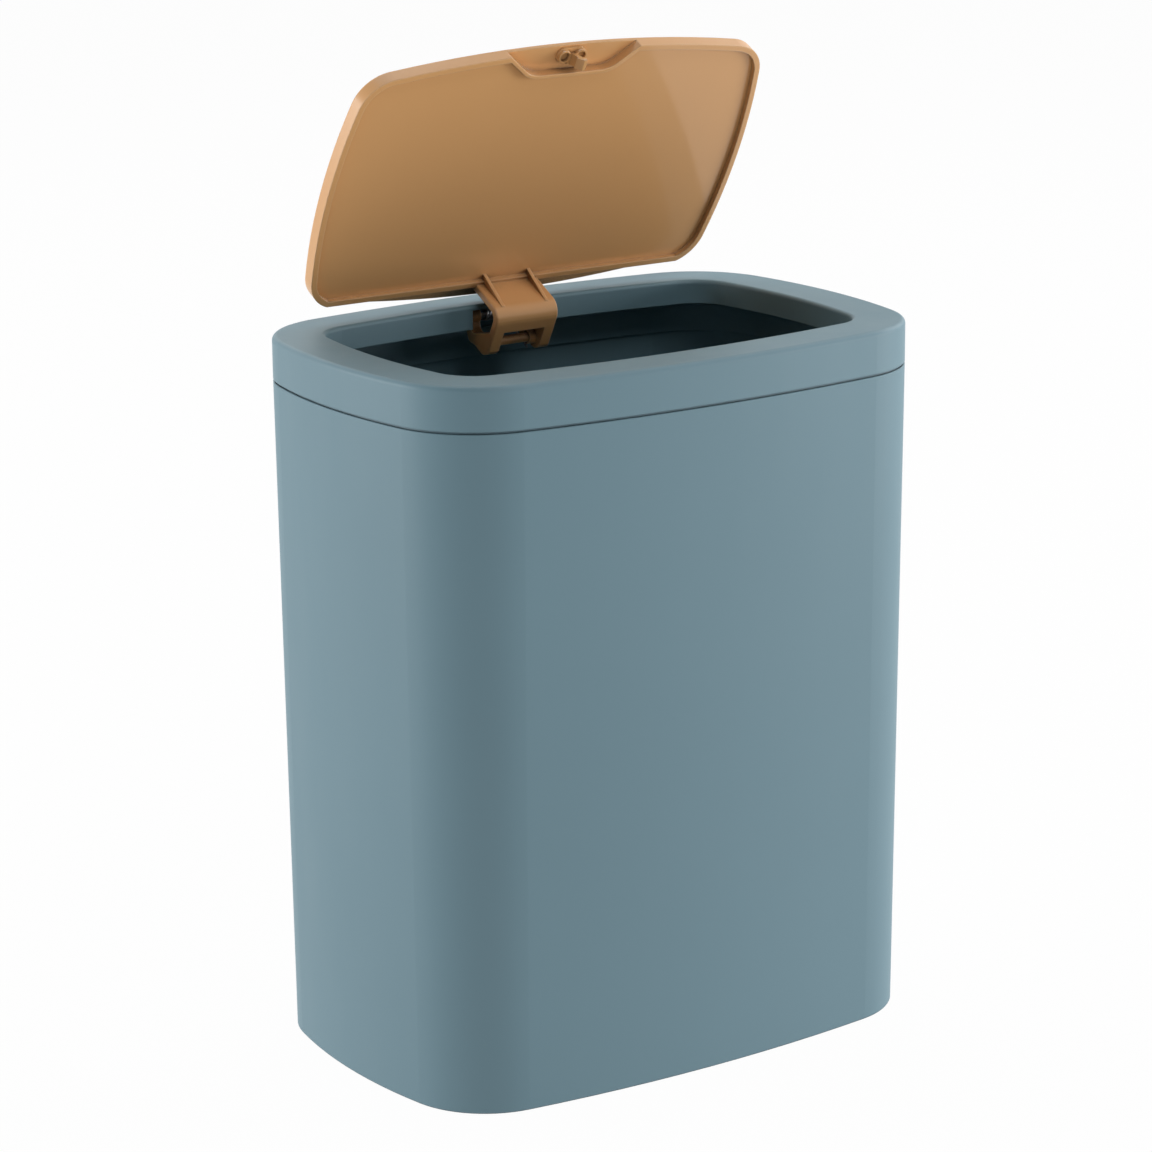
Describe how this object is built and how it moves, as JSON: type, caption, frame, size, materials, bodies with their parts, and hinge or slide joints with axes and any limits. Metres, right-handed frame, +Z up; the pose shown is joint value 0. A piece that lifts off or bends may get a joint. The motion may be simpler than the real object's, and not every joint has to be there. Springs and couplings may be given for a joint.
{
  "type": "bathroom bin",
  "caption": "Slim tapered bathroom bin with a lift-off collar and a spring-loaded lid on a gooseneck hinge, held shut by a push latch.",
  "frame": {"origin": "middle of the tub's underside, on the surface it stands on", "axes": "+Z up, -Y towards the front where the lid is pressed, +Y towards the hinge, +X to the right of someone facing the front"},
  "size_m": [0.2516, 0.1722, 0.415],
  "materials": {
    "tub_plastic": "matte, fine spark-eroded grain",
    "collar_plastic": "matte, fine spark-eroded grain",
    "lid_plastic": "polished underside, satin top",
    "striker_plastic": "polished",
    "latch_plastic": "moulded, satin",
    "jaw_plastic": "moulded, slippery",
    "bright_steel": "zinc plated",
    "spring_steel": "drawn wire"
  },
  "bodies": {
    "tub": {"bin_body": "tub_plastic"},
    "collar_unit": {"collar": "collar_plastic", "hinge_pin": "bright_steel", "pin_clip": "bright_steel", "lid_spring": "spring_steel", "latch_housing": "latch_plastic", "latch_cover": "latch_plastic", "plunger_spring": "spring_steel", "follower_pivot": "bright_steel", "latch_screws": "bright_steel", "cover_screws": "bright_steel"},
    "lid_unit": {"lid": "lid_plastic", "striker": "striker_plastic"},
    "plunger_unit": {"latch_plunger": "jaw_plastic", "jaw_pin_left": "bright_steel", "jaw_pin_right": "bright_steel"},
    "left_jaw": {"jaw_left": "jaw_plastic"},
    "right_jaw": {"jaw_right": "jaw_plastic"},
    "follower": {"cam_follower": "bright_steel"}
  },
  "joints": [
    {"name": "collar_lift", "type": "slide", "parent": "tub", "child": "collar_unit", "axis": [0, 0, 1], "range_m": [0, 0.06]},
    {"name": "lid_hinge", "type": "hinge", "parent": "collar_unit", "child": "lid_unit", "pos_m": [0, 0.0711, 0.2941], "axis": [1, 0, 0], "range_deg": [0, 61.9], "stiffness_Nm_per_rad": 0.06, "springref_deg": -45.84, "deforming": ["lid_spring"]},
    {"name": "plunger_slide", "type": "slide", "parent": "collar_unit", "child": "plunger_unit", "axis": [0, 0, -1], "range_m": [0, 0.0025], "stiffness_N_per_m": 300, "springref_m": -0.004, "deforming": ["plunger_spring"]},
    {"name": "left_jaw_hinge", "type": "hinge", "parent": "plunger_unit", "child": "left_jaw", "pos_m": [-0.0056, -0.0585, 0.282], "axis": [0, 1, 0], "range_deg": [0, 8]},
    {"name": "right_jaw_hinge", "type": "hinge", "parent": "plunger_unit", "child": "right_jaw", "pos_m": [0.0056, -0.0585, 0.282], "axis": [0, -1, 0], "range_deg": [0, 8]},
    {"name": "follower_swing", "type": "hinge", "parent": "collar_unit", "child": "follower", "pos_m": [0, -0.0522, 0.266], "axis": [0, 1, 0], "range_deg": [0, 5]}
  ],
  "couplings": [
    {"joint": "left_jaw_hinge", "follows": "plunger_slide", "rad_per_m": 55.8},
    {"joint": "right_jaw_hinge", "follows": "plunger_slide", "rad_per_m": 55.8},
    {"joint": "follower_swing", "follows": "plunger_slide", "rad_per_m": 34.8}
  ]
}
